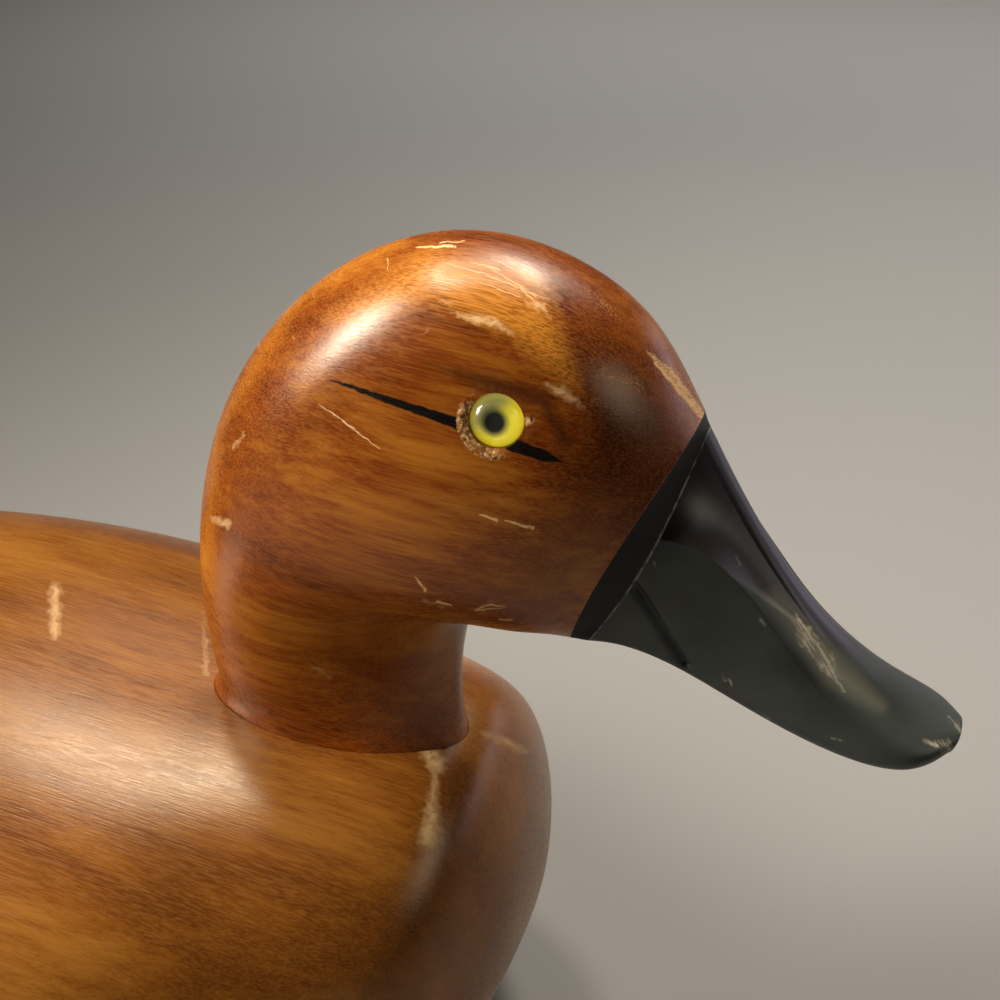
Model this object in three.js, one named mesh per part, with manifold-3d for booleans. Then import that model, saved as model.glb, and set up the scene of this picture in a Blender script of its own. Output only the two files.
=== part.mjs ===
import * as THREE from 'three';
import { mergeVertices } from 'three/addons/utils/BufferGeometryUtils.js';
import Module from 'manifold-3d';

const wasm = await Module();
wasm.setup();

// Duck decoy: a carved body, a head, neck and bill carved in one, and two glass eyes in putty.
// Millimetres, +X towards the bill, +Z up, the duck's right side towards -Y.
// The origin is on the underside, below the middle of the overall length.

// Driving dimensions
const neckAhead = 69; // middle of the neck joint, ahead of the origin
const seatHeight = 88; // the neck joint above the underside
const fitGap = 0.3; // between pieces that touch
const eyeDiameter = 9;
const puttyWidth = 1.1; // putty seen round the glass
const socketDepth = 5;
const eyePlace = new THREE.Vector3(38.5, 21, 80.5); // from the neck joint, Y to either side
const eyeRise = 0.32; // how far the eye looks up, for one outwards
const eyeAhead = 0.15; // how far the eye looks ahead, for one outwards

// How finely the carving is faceted
const headSides = 32;
const headRings = 34;
const pocketRings = 6; // of the head's rings, which reach above the back
const billRings = 16;
const bodySides = 44;
const bodyRings = 40;
const roundSides = 24;

// Head stations from the neck joint up to the face. The top line runs nape, crown and brow,
// the under line runs throat and jaw, both as x and z from the middle of the neck joint.
// Skew moves the widest place towards the top line, square flattens the sides between a full
// brow and cheek, and channel is the shallow hollow that the eye lies in.
const headStations = [
  { top: [-26.8, 0], under: [25.5, -2.5], half: 13.5, skew: -0.05, square: 0, channel: 0 },
  { top: [-26.8, 8], under: [24.5, 5.5], half: 14.5, skew: 0.08, square: 0, channel: 0 },
  { top: [-27.2, 20.5], under: [24.2, 16], half: 16.5, skew: 0.14, square: 0, channel: 0 },
  { top: [-26.6, 35.5], under: [25.6, 24.5], half: 20, skew: 0.1, square: 0, channel: 0 },
  { top: [-23.8, 51.5], under: [27, 31], half: 24, skew: 0.03, square: 0.01, channel: 0 },
  { top: [-18, 69], under: [28.5, 32], half: 26.5, skew: 0, square: 0.03, channel: 0.01 },
  { top: [-6.5, 86], under: [31, 32.5], half: 28, skew: -0.02, square: 0.05, channel: 0.03 },
  { top: [10, 98], under: [33.5, 32.5], half: 28.5, skew: -0.02, square: 0.05, channel: 0.04 },
  { top: [27.5, 102], under: [35, 32], half: 28, skew: -0.02, square: 0.05, channel: 0.045 },
  { top: [45, 98], under: [40, 31.5], half: 26, skew: -0.02, square: 0.05, channel: 0.04 },
  { top: [58, 89], under: [44, 31.5], half: 23, skew: -0.01, square: 0.04, channel: 0.02 },
  { top: [67.5, 75], under: [47.5, 30.5], half: 19, skew: 0, square: 0.02, channel: 0 },
];
const channelTurn = 1.08; // the eye channel's place round the section, from the crown
const channelSpread = 0.3;

// Bill stations from the face to the tip. The shelf is the crisp edge below the scooped top,
// the keel is the lower edge of the side, each as height on the section and share of the width.
// Soft rounds the section off, from an edged one at 0 to an oval spoon at 1.
const billStations = [
  {
    top: [69, 73.7], under: [50.3, 31.5], half: 14,
    shelf: [0.3, 0.98], keel: [-0.72, 0.92], scoop: 0.16, soft: 0,
  },
  {
    top: [75.4, 62.2], under: [58, 32.3], half: 13.2,
    shelf: [0.6, 0.92], keel: [-0.75, 0.92], scoop: 0.13, soft: 0,
  },
  {
    top: [84.2, 48.8], under: [68, 28.5], half: 11.4,
    shelf: [0.76, 0.84], keel: [-0.72, 0.94], scoop: 0.04, soft: 0.25,
  },
  {
    top: [94.4, 37.1], under: [80.5, 22], half: 11,
    shelf: [0.7, 0.84], keel: [-0.65, 0.96], scoop: -0.04, soft: 0.6,
  },
  {
    top: [104.5, 28.8], under: [94.5, 17.3], half: 12,
    shelf: [0.56, 0.8], keel: [-0.5, 0.96], scoop: -0.04, soft: 0.9,
  },
  {
    top: [112.5, 24.6], under: [107.2, 16.5], half: 10.8,
    shelf: [0.5, 0.74], keel: [-0.4, 0.96], scoop: 0, soft: 1,
  },
  {
    top: [117, 23], under: [115, 19], half: 4.5,
    shelf: [0.5, 0.74], keel: [-0.4, 0.96], scoop: 0, soft: 1,
  },
];
const spoonFullness = 0.8; // how full the oval of the spoon is to its sides
// The gape groove on the bill's side, x and z from the neck joint, cut in to its floor
const gapeLine = [[59.5, 51], [62.3, 46.2], [64.4, 42.4], [65.9, 39], [67.4, 36.5], [69.5, 32.5]];
const gapeWidth = 1.4;
const gapeFloor = 11.6; // from the middle of the bill
const gapeReach = 6;
const gapeSteps = 8;
const faceBow = 1.7; // the face's edge bows back by this, halfway down
const billBow = 2; // and the bill's first section bows ahead
const faceStart = 0.8; // share of the head's rings where its bow begins
const bowEnd = 0.3; // share of the bill's rings where its bow has gone
const ridgeHeight = 0.9; // where the round of the ridge ends, as height on the section
const ridgeShare = 0.18; // and as share of the width
const sideSwell = 0.06; // the bill's side swells by this share of the width
// Places of the ridge, the shelf and the keel among the sides of a section
const ridgeSide = 2;
const shelfSide = 6;
const keelSide = 12;

// Body stations from the tail to the breast: x from the neck joint, z from the underside.
const bodyStations = [
  { x: -255, half: 3, top: 82, wide: 80, foot: 78 },
  { x: -253, half: 12, top: 84, wide: 79, foot: 74 },
  { x: -235, half: 28, top: 84, wide: 73, foot: 60 },
  { x: -200, half: 47, top: 86.5, wide: 61, foot: 34 },
  { x: -160, half: 64, top: 93, wide: 53, foot: 10 },
  { x: -120, half: 76, top: 96.5, wide: 49, foot: -4 },
  { x: -80, half: 82, top: 95.8, wide: 47, foot: -8 },
  { x: -40, half: 79, top: 90.8, wide: 47, foot: -8 },
  { x: -5, half: 62, top: 89, wide: 48, foot: -5 },
  { x: 20, half: 48, top: 88.5, wide: 50, foot: 5 },
  { x: 31.5, half: 36, top: 81, wide: 51, foot: 22 },
  { x: 37.5, half: 19, top: 67, wide: 52, foot: 37 },
  { x: 39, half: 3, top: 54, wide: 52, foot: 49 },
];
const backFullness = 2; // how square the section is above its widest place
const bellyFullness = 2.5; // and below it

const quarter = Math.PI / 2;

// A smooth run through one value of all the stations
function through(stations, pick) {
  const curve = new THREE.SplineCurve(stations.map((station) => new THREE.Vector2(...pick(station))));
  return (t) => curve.getPoint(t);
}

// One closed body from a row of rings of equal length, capped flat at both ends
function skin(rings) {
  const sides = rings[0].length;
  const positions = rings.flat().flatMap((point) => [point.x, point.y, point.z]);
  const faces = [];
  for (let ring = 0; ring + 1 < rings.length; ring += 1) {
    for (let side = 0; side < sides; side += 1) {
      const next = (side + 1) % sides;
      const a = ring * sides + side;
      const b = ring * sides + next;
      faces.push(a, b + sides, b, a, a + sides, b + sides);
    }
  }
  const ends = [rings[0], rings[rings.length - 1]];
  ends.forEach((end, last) => {
    const middle = end.reduce((sum, point) => sum.add(point), new THREE.Vector3()).divideScalar(sides);
    const hub = positions.length / 3;
    const start = last ? (rings.length - 1) * sides : 0;
    positions.push(middle.x, middle.y, middle.z);
    for (let side = 0; side < sides; side += 1) {
      const here = start + side;
      const next = start + ((side + 1) % sides);
      faces.push(...(last ? [hub, next, here] : [hub, here, next]));
    }
  });
  const geometry = new THREE.BufferGeometry();
  geometry.setAttribute('position', new THREE.Float32BufferAttribute(positions, 3));
  geometry.setIndex(faces);
  return geometry;
}

// A ring between a top and an under point, bowed ahead by a reach halfway down.
// Outline gives the height on the section and the width for each side.
function ringBetween(top, under, outline, bow = 0) {
  const ring = [];
  for (let side = 0; side < headSides; side += 1) {
    const mirrored = side > headSides / 2;
    const [height, width] = outline(mirrored ? headSides - side : side);
    const share = (1 + height) / 2;
    const x = THREE.MathUtils.lerp(under.x, top.x, share) + bow * Math.sin(share * Math.PI);
    const z = THREE.MathUtils.lerp(under.y, top.y, share);
    ring.push(new THREE.Vector3(x, mirrored ? -width : width, z));
  }
  return ring;
}

// The head from the neck joint to the face, grown outwards by a margin where one is given
function headSkin(margin = 0) {
  const top = through(headStations, (station) => station.top);
  const under = through(headStations, (station) => station.under);
  const width = through(headStations, (station) => [station.half, station.skew]);
  const form = through(headStations, (station) => [station.square, station.channel]);
  const rings = [];
  for (let ring = 0; ring <= headRings; ring += 1) {
    const t = ring / headRings;
    const { x: half, y: skew } = width(t);
    const { x: square, y: channel } = form(t);
    const nape = top(t).add(new THREE.Vector2(-margin, ring ? 0 : -margin));
    const throat = under(t).add(new THREE.Vector2(margin, ring ? 0 : -margin));
    rings.push(ringBetween(nape, throat, (side) => {
      const turn = (side / headSides) * 2 * Math.PI;
      const round = Math.sin(turn) + skew * Math.sin(2 * turn) + square * Math.sin(3 * turn);
      const hollow = channel * Math.exp(-(((turn - channelTurn) / channelSpread) ** 2));
      return [Math.cos(turn), (half + margin) * (round - hollow)];
    }, -faceBow * THREE.MathUtils.smoothstep(t, faceStart, 1)));
  }
  return rings;
}

// Half of an edged section: ridge, scooped face down to the shelf, side, and round below the keel
function edgedOutline(side, shelf, keel, scoop) {
  const ridge = new THREE.Vector2(ridgeHeight, ridgeShare);
  if (side <= ridgeSide) {
    const turn = (side / ridgeSide) * quarter;
    return new THREE.Vector2(1 - (1 - ridgeHeight) * (1 - Math.cos(turn)), ridgeShare * Math.sin(turn));
  }
  if (side <= shelfSide) {
    const share = (side - ridgeSide) / (shelfSide - ridgeSide);
    const dip = scoop * Math.sin(share * Math.PI);
    return ridge.lerp(shelf, share).sub(new THREE.Vector2(dip / 2, dip));
  }
  if (side <= keelSide) {
    const share = (side - shelfSide) / (keelSide - shelfSide);
    const swell = new THREE.Vector2(0, sideSwell * Math.sin(share * Math.PI));
    return shelf.clone().lerp(keel, share).add(swell);
  }
  const turn = ((side - keelSide) / (headSides / 2 - keelSide)) * quarter;
  return new THREE.Vector2(keel.x - (1 + keel.x) * Math.sin(turn), keel.y * Math.cos(turn));
}

function billSkin() {
  const top = through(billStations, (station) => station.top);
  const under = through(billStations, (station) => station.under);
  const width = through(billStations, (station) => [station.half, station.scoop]);
  const round = through(billStations, (station) => [station.soft, 0]);
  const shelf = through(billStations, (station) => station.shelf);
  const keel = through(billStations, (station) => station.keel);
  const rings = [];
  for (let ring = 0; ring <= billRings; ring += 1) {
    const t = ring / billRings;
    const { x: half, y: scoop } = width(t);
    const soft = THREE.MathUtils.clamp(round(t).x, 0, 1);
    const outline = (side) => {
      const turn = (side / headSides) * 2 * Math.PI;
      const oval = new THREE.Vector2(Math.cos(turn), Math.abs(Math.sin(turn)) ** spoonFullness);
      const section = edgedOutline(side, shelf(t), keel(t), scoop).lerp(oval, soft);
      return [section.x, half * section.y];
    };
    const bow = billBow * (1 - THREE.MathUtils.smoothstep(t, 0, bowEnd));
    rings.push(ringBetween(top(t), under(t), outline, bow));
  }
  return rings;
}

// Rings of the body, a flattened round above the widest place and a squarer one below it,
// planed off flat at the underside
function bodySkin() {
  const place = through(bodyStations, (station) => [station.x, station.half]);
  const heights = through(bodyStations, (station) => [station.top, station.foot]);
  const wide = through(bodyStations, (station) => [station.wide, 0]);
  const rings = [];
  for (let ring = 0; ring <= bodyRings; ring += 1) {
    const t = ring / bodyRings;
    const { x, y: half } = place(t);
    const { x: top, y: foot } = heights(t);
    const middle = wide(t).x;
    const points = [];
    for (let side = 0; side < bodySides; side += 1) {
      const turn = (side / bodySides) * 2 * Math.PI;
      const up = Math.cos(turn);
      const out = Math.sin(turn);
      const fullness = up > 0 ? backFullness : bellyFullness;
      const reach = up > 0 ? top - middle : middle - foot;
      const y = half * Math.sign(out) * Math.abs(out) ** (2 / fullness);
      const z = middle + reach * Math.sign(up) * Math.abs(up) ** (2 / fullness);
      points.push(new THREE.Vector3(x, y, Math.max(z, 0)));
    }
    rings.push(points);
  }
  return rings;
}

// Solids for cutting
function solidOf(geometry) {
  const bare = geometry.clone();
  bare.deleteAttribute('normal');
  bare.deleteAttribute('uv');
  const merged = mergeVertices(bare, 1e-4);
  return new wasm.Manifold(new wasm.Mesh({
    numProp: 3,
    vertProperties: new Float32Array(merged.getAttribute('position').array),
    triVerts: new Uint32Array(merged.getIndex().array),
  }));
}

function geometryOf(solid) {
  const { vertProperties, triVerts } = solid.getMesh();
  const geometry = new THREE.BufferGeometry();
  geometry.setAttribute('position', new THREE.Float32BufferAttribute(vertProperties, 3));
  geometry.setIndex(Array.from(triVerts));
  return geometry;
}

// Turned shapes on the eye's axis: profiles of radius and depth, depth 0 at the head's skin
function turned(profile) {
  return new THREE.LatheGeometry(profile.map(([r, y]) => new THREE.Vector2(r, y)), roundSides);
}

function eyeAxis(hand) {
  return new THREE.Vector3(eyeAhead, hand, eyeRise).normalize();
}

function atEye(geometry, hand) {
  const turn = new THREE.Quaternion().setFromUnitVectors(new THREE.Vector3(0, 1, 0), eyeAxis(hand));
  const place = new THREE.Vector3(eyePlace.x, eyePlace.y * hand, eyePlace.z);
  return geometry.applyQuaternion(turn).translate(place.x, place.y, place.z);
}

// The gape groove runs down the bill's side from the face to the lower edge
function grooveGeometry(hand) {
  const line = new THREE.SplineCurve(gapeLine.map((point) => new THREE.Vector2(...point)));
  const upper = [];
  const lower = [];
  for (let step = 0; step <= gapeSteps; step += 1) {
    const here = line.getPoint(step / gapeSteps);
    const along = line.getTangent(step / gapeSteps);
    const across = new THREE.Vector2(-along.y, along.x).multiplyScalar(gapeWidth / 2);
    upper.push(here.clone().add(across));
    lower.unshift(here.clone().sub(across));
  }
  const shape = new THREE.Shape([...upper, ...lower]);
  const cutter = new THREE.ExtrudeGeometry(shape, { depth: gapeReach, bevelEnabled: false });
  cutter.rotateX(quarter);
  return cutter.translate(0, hand > 0 ? gapeFloor + gapeReach : -gapeFloor, 0);
}

const eyeRadius = eyeDiameter / 2;
const puttyRadius = eyeRadius + fitGap + puttyWidth;
const socketRadius = puttyRadius + fitGap;

function socketGeometry() {
  return turned([[0, -socketDepth], [socketRadius, -socketDepth], [socketRadius, 8], [0, 8]]);
}

function eyeGeometry() {
  const base = fitGap - socketDepth;
  const dome = [];
  for (let step = 0; step <= 6; step += 1) {
    const turn = (step / 6) * Math.PI * 0.5;
    dome.push([step === 6 ? 0 : eyeRadius * Math.cos(turn), 2.4 * Math.sin(turn) - 0.6]);
  }
  return turned([[0, base], [eyeRadius - 0.8, base], [eyeRadius, base + 0.8], ...dome]);
}

function puttyGeometry() {
  const inner = eyeRadius + fitGap;
  const base = fitGap - socketDepth;
  return turned([[inner, base], [puttyRadius, base], [puttyRadius, 0.1], [puttyRadius - 0.4, 0.5],
    [inner + 0.3, 0.3], [inner, -0.2], [inner, base]]);
}

// Assembly
const decoy = new THREE.Group();
decoy.name = 'duck_decoy';

function addPiece(name, geometry, colour, roughness) {
  geometry.computeVertexNormals();
  const material = new THREE.MeshStandardMaterial({ color: colour, roughness, metalness: 0 });
  const mesh = new THREE.Mesh(geometry, material);
  mesh.name = name;
  decoy.add(mesh);
  return mesh;
}

let head = solidOf(skin([...headSkin(), ...billSkin()]));
for (const hand of [-1, 1]) {
  head = head.subtract(solidOf(atEye(socketGeometry(), hand)));
  head = head.subtract(solidOf(grooveGeometry(hand)));
}

// The neck is let into the body's back a little way
const pocket = solidOf(skin(headSkin(fitGap).slice(0, pocketRings)).translate(0, 0, seatHeight));
const body = solidOf(skin(bodySkin())).subtract(pocket);

addPiece('body', geometryOf(body), 0xb47a35, 0.35).position.set(neckAhead, 0, 0);
addPiece('head', geometryOf(head), 0x8a4a1c, 0.3).position.set(neckAhead, 0, seatHeight);
for (const [hand, side] of [[-1, 'right'], [1, 'left']]) {
  addPiece(`eye_${side}`, atEye(eyeGeometry(), hand), 0xd8c23a, 0.1)
    .position.set(neckAhead, 0, seatHeight);
  addPiece(`eye_putty_${side}`, atEye(puttyGeometry(), hand), 0xb89a6a, 0.8)
    .position.set(neckAhead, 0, seatHeight);
}

export default decoy;
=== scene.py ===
import math
import re

import bmesh
import bpy
import numpy as np
from mathutils import Matrix, Vector, noise
from mathutils.bvhtree import BVHTree


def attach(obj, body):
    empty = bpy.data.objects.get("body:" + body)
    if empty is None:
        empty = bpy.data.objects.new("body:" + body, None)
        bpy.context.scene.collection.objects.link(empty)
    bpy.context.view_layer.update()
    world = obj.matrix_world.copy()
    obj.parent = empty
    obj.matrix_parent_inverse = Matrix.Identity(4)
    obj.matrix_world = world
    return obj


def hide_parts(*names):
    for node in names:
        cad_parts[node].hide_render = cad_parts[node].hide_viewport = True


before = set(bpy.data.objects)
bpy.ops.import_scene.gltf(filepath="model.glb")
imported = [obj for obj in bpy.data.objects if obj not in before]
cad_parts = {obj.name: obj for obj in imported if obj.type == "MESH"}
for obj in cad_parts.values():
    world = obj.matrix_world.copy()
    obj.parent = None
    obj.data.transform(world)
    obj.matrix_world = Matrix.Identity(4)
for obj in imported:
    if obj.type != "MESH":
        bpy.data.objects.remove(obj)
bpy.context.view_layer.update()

mm = 0.001
weldGap = 1e-7  # m
sharpAngle = math.radians(62)
neckJoint = np.array((69.0, 0.0, 88.0))  # mm, from the middle of the underside
print("frame loaded")


# Skins drawn through stations


def smoothRun(values, stiffness=0.0):
    # a curve without kinks through one value of all the stations
    knots = np.array([np.atleast_1d(value) for value in values], dtype=float)
    last = len(knots) - 1
    unrest = np.diff(np.eye(last + 1), 3, axis=0)
    knots = np.linalg.solve(np.eye(last + 1) + stiffness * unrest.T @ unrest, knots)
    matrix = np.eye(last + 1)
    pull = np.zeros_like(knots)
    for row in range(1, last):
        matrix[row, row - 1 : row + 2] = (1, 4, 1)
        pull[row] = 6 * (knots[row + 1] - 2 * knots[row] + knots[row - 1])
    bend = np.linalg.solve(matrix, pull)

    def at(t):
        place = min(max(t, 0.0), 1.0) * last
        row = min(int(place), last - 1)
        b = place - row
        a = 1 - b
        cubic = (a**3 - a) * bend[row] + (b**3 - b) * bend[row + 1]
        return a * knots[row] + b * knots[row + 1] + cubic / 6

    return at


def smoothStep(value, low, high):
    share = np.clip((value - low) / (high - low), 0, 1)
    return share * share * (3 - 2 * share)


def ringBetween(top, under, height, width, bow):
    share = (1 + height) / 2
    x = under[0] + (top[0] - under[0]) * share + bow * np.sin(share * math.pi)
    z = under[1] + (top[1] - under[1]) * share
    return np.stack([x, width, z], axis=-1)


def layGrid(bm, rings):
    # a grid laid over rings of points, and the row and column of each of its vertices
    rings = np.asarray(rings)
    rowCount, columnCount = rings.shape[:2]
    bmesh.ops.create_grid(bm, x_segments=columnCount - 1, y_segments=rowCount - 1, size=1.0)
    places = {}
    for vert in bm.verts:
        column = round((vert.co.x + 1) / 2 * (columnCount - 1))
        row = round((vert.co.y + 1) / 2 * (rowCount - 1))
        places[vert] = (row, column)
        vert.co = Vector(rings[row, column]) * mm
    return places


def closeSkin(bm, name):
    bmesh.ops.remove_doubles(bm, verts=bm.verts, dist=weldGap)
    bmesh.ops.dissolve_degenerate(bm, edges=bm.edges, dist=weldGap)
    bmesh.ops.recalc_face_normals(bm, faces=bm.faces)
    return finishMesh(bm, name)


def wrapSkin(name, rings, rows, columns):
    # rings of points become one closed skin, with rows and columns kept as its UV map
    bm = bmesh.new()
    uvLayer = bm.loops.layers.uv.new("section")
    places = layGrid(bm, rings)
    for face in bm.faces:
        for loop in face.loops:
            row, column = places[loop.vert]
            loop[uvLayer].uv = (columns[column], rows[row])
    return closeSkin(bm, name)


def finishMesh(bm, name):
    for face in bm.faces:
        face.smooth = True
    mesh = bpy.data.meshes.new(name)
    bm.to_mesh(mesh)
    bm.free()
    piece = bpy.data.objects.new(name, mesh)
    bpy.context.scene.collection.objects.link(piece)
    return piece


def closeRing(ring, shares, reach=(0, 0, 0)):
    # rings that close an open end towards its middle
    middle = ring.mean(axis=0)
    away = np.array(reach, dtype=float)
    return [middle + (ring - middle) * share + away * math.sqrt(1 - share**2) for share in shares]


def cutAway(piece, cutters):
    for cutter in cutters:
        cut = piece.modifiers.new("cut", "BOOLEAN")
        cut.object = cutter
        cut.operation = "DIFFERENCE"
        cut.solver = "EXACT"
    depsgraph = bpy.context.evaluated_depsgraph_get()
    mesh = bpy.data.meshes.new_from_object(piece.evaluated_get(depsgraph))
    piece.modifiers.clear()
    piece.data = mesh
    for cutter in cutters:
        bpy.data.objects.remove(cutter)
    mesh.set_sharp_from_angle(angle=sharpAngle)


# Head, neck and bill

head = {
    "stations": [  # mm from the neck joint: nape to brow, throat to jaw, half width; form of the section
        ((-26.8, 0), (25.5, -2.5), 13.5, (-0.05, 0, 0)),
        ((-26.8, 8), (24.5, 5.5), 14.5, (0.08, 0, 0)),
        ((-27.2, 20.5), (24.2, 16), 16.5, (0.14, 0, 0)),
        ((-26.6, 35.5), (25.6, 24.5), 20, (0.1, 0, 0)),
        ((-23.8, 51.5), (27, 31), 24, (0.03, 0.01, 0)),
        ((-18, 69), (28.5, 32), 26.5, (0, 0.03, 0.01)),
        ((-6.5, 86), (31, 32.5), 28, (-0.02, 0.05, 0.03)),
        ((10, 98), (33.5, 32.5), 28.5, (-0.02, 0.05, 0.04)),
        ((27.5, 102), (35, 32), 28, (-0.02, 0.05, 0.045)),
        ((45, 98), (40, 31.5), 26, (-0.02, 0.05, 0.04)),
        ((58, 89), (44, 31.5), 23, (-0.01, 0.04, 0.02)),
        ((67.5, 75), (47.5, 30.5), 19, (0, 0.02, 0)),
    ],
    "channelTurn": 1.08,  # the shallow hollow of the eye, round the section from the crown
    "channelSpread": 0.3,
    "faceBow": 1.7,  # the face's edge bows back by this
    "faceStart": 0.8,
    "stiffness": 0.05,  # how far the runs even out the stations
    "rings": 120,
    "lastRing": 0.996,  # close before the face's edge
    "footCap": (0, 0.4, 0.8, 0.97),
    "faceShares": (0.08, 0.3, 0.6, 0.88, 0.97),  # rings across the face, from its edge to the bill
    "footEnd": 0.1,  # the share of the run that stands in the body
    "flare": 1.7,  # the back of the neck's foot runs out over the body by this
    "flareFrom": 24,  # where it stands this far from the joint
    "flareBack": (-2, 22),  # and comes in between these, behind the joint
    "flareBase": 2.2,  # from this height up it fades, within the next
    "flareHeight": 4.5,
    "flareFade": 2.5,
}

bill = {
    "stations": [  # top and underside, half width, height and width of shelf and of keel, scoop, round
        ((69, 73.7), (50.3, 31.5), 14, (0.3, 0.98), (-0.72, 0.92), 0.08, 0),
        ((75.4, 62.2), (58, 32.3), 13.2, (0.6, 0.92), (-0.75, 0.92), 0.08, 0),
        ((84.2, 48.8), (68, 28.5), 11.4, (0.76, 0.84), (-0.72, 0.94), 0.07, 0.2),
        ((94.4, 37.1), (80.5, 22), 11, (0.7, 0.84), (-0.65, 0.96), 0.05, 0.6),
        ((104.5, 28.8), (94.5, 17.3), 12, (0.56, 0.8), (-0.5, 0.96), 0, 0.9),
        ((112.5, 24.6), (107.2, 16.5), 10.8, (0.5, 0.74), (-0.4, 0.96), 0, 1),
        ((117, 23), (115, 19), 4.5, (0.5, 0.74), (-0.4, 0.96), 0, 1),
    ],
    "billBow": 2.0,  # the bill's first section bows ahead
    "bowEnd": 0.3,
    "ridge": (0.9, 0.18),  # where the round of the ridge ends: height and share of the width
    "sideSwell": 0.06,
    "spoonFullness": 0.8,
    "domeBulge": 0.04,  # the top bulges ahead of the scoops by this share of the width
    "scoopEnd": (0.46, 0.25),  # share of the bill's length, at the ridge and at the shelf
    "scoopEase": 0.018,
    "rings": 130,
    "firstRing": 0.003,  # close after the face
    "tipStart": 0.99,
    "tipReach": 116.5,
    "tipDrop": 0.3,
    "tipShares": (0.97, 0.9, 0.78, 0.6, 0.4, 0.2, 0),
    # the groove of the mouth, x and z from the neck joint
    "gapeLine": [(59.5, 51), (62.3, 46.2), (64.4, 42.4), (65.9, 39), (67.4, 36.5), (69.5, 32.5)],
    "gapeSteps": 61,
    "gapeTaper": (-0.02, 0.12),
    "gapeDepth": 1.2,
    "gapeWidth": 0.8,
}

halfSides = 16  # a section runs from 0 on the ridge to 16 underneath, then back up
ridgeSide, shelfSide, keelSide = 2, 6, 12
edgeGap = 0.07  # a column stands this close to each side of an edge
# rows of the head's map: where the face and the bill start, and the bill's share
faceRow, billRow, billRows = 0.5, 0.52, 0.47


def sectionColumns():
    spans = [(0, ridgeSide, 10), (ridgeSide, shelfSide, 24)]
    spans += [(shelfSide, keelSide, 48), (keelSide, halfSides, 18)]
    half = [low + (high - low) * step / count for low, high, count in spans for step in range(count)]
    half += [edge + gap for edge in (ridgeSide, shelfSide, keelSide) for gap in (-edgeGap, edgeGap)]
    half = sorted(half)
    return np.array(half + [halfSides] + [2 * halfSides - side for side in reversed(half)])


def headRing(t, columns, margin=0.0):
    top, under, half, form = (run(t) for run in headRuns)
    turn = np.minimum(columns, 2 * halfSides - columns) / halfSides * math.pi
    hand = np.where(columns > halfSides, -1.0, 1.0)
    skew, square, channel = form
    hollow = channel * np.exp(-(((turn - head["channelTurn"]) / head["channelSpread"]) ** 2))
    width = np.sin(turn) + skew * np.sin(2 * turn) + square * np.sin(3 * turn) - hollow * np.sin(turn)
    lower = -margin if t == 0 else 0.0
    top = top + np.array((-margin, lower))
    under = under + np.array((margin, lower))
    bow = -head["faceBow"] * smoothStep(t, head["faceStart"], 1)
    ring = ringBetween(top, under, np.cos(turn), hand * (half[0] + margin) * width, bow)
    if t < head["footEnd"]:
        rise = np.clip((ring[:, 2] - head["flareBase"]) / head["flareHeight"], 0, 1)
        back = smoothStep(-ring[:, 0], *head["flareBack"])
        flare = head["flare"] / head["flareFrom"] * (1 - rise) ** head["flareFade"] * back
        ring[:, :2] *= 1 + flare[:, None]
    return ring


def edgedOutline(side, shelf, keel, scoop, t):
    ridgeHeight, ridgeShare = bill["ridge"]
    if side <= ridgeSide:
        turn = side / ridgeSide * math.pi / 2
        return 1 - (1 - ridgeHeight) * (1 - math.cos(turn)), ridgeShare * math.sin(turn)
    if side <= shelfSide:
        share = (side - ridgeSide) / (shelfSide - ridgeSide)
        atRidge, atShelf = bill["scoopEnd"]
        end = atRidge + (atShelf - atRidge) * share
        past = smoothStep(t, end - bill["scoopEase"], end + bill["scoopEase"])
        dip = (scoop * (1 - past) - bill["domeBulge"] * past) * math.sin(share * math.pi)
        height = ridgeHeight + (shelf[0] - ridgeHeight) * share
        return height - dip / 2, ridgeShare + (shelf[1] - ridgeShare) * share - dip
    if side <= keelSide:
        share = (side - shelfSide) / (keelSide - shelfSide)
        swell = bill["sideSwell"] * math.sin(share * math.pi)
        return shelf[0] + (keel[0] - shelf[0]) * share, shelf[1] + (keel[1] - shelf[1]) * share + swell
    turn = (side - keelSide) / (halfSides - keelSide) * math.pi / 2
    return keel[0] - (1 + keel[0]) * math.sin(turn), keel[1] * math.cos(turn)


def billRing(t, columns):
    top, under, half, shelf, keel, scoop, soft = (run(t) for run in billRuns)
    soft = min(max(soft[0], 0.0), 1.0)
    heights, widths = [], []
    for column in columns:
        side = min(column, 2 * halfSides - column)
        height, width = edgedOutline(side, shelf, keel, scoop[0], t)
        turn = side / halfSides * math.pi
        ovalWidth = math.sin(turn) ** bill["spoonFullness"] if 0 < side < halfSides else 0.0
        heights.append(height + (math.cos(turn) - height) * soft)
        width = half[0] * (width + (ovalWidth - width) * soft)
        widths.append(-width if column > halfSides else width)
    bow = bill["billBow"] * (1 - smoothStep(t, 0, bill["bowEnd"]))
    return ringBetween(top, under, np.array(heights), np.array(widths), bow)


def pressGape(ring):
    line = np.array(bill["gapeLine"], dtype=float)
    along = np.linspace(0, 1, bill["gapeSteps"])
    knots = np.linspace(0, 1, len(line))
    line = np.stack([np.interp(along, knots, line[:, axis]) for axis in (0, 1)], axis=-1)
    for point in ring:
        gaps = np.hypot(line[:, 0] - point[0], line[:, 1] - point[2])
        near = int(gaps.argmin())
        taper = smoothStep(along[near], *bill["gapeTaper"])
        depth = bill["gapeDepth"] * taper * math.exp(-((gaps[near] / bill["gapeWidth"]) ** 2))
        point[1] -= math.copysign(min(depth, abs(point[1])), point[1])
    return ring


headRuns = [smoothRun(values, head["stiffness"]) for values in zip(*head["stations"])]
billRuns = [smoothRun(values) for values in zip(*bill["stations"])]


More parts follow.
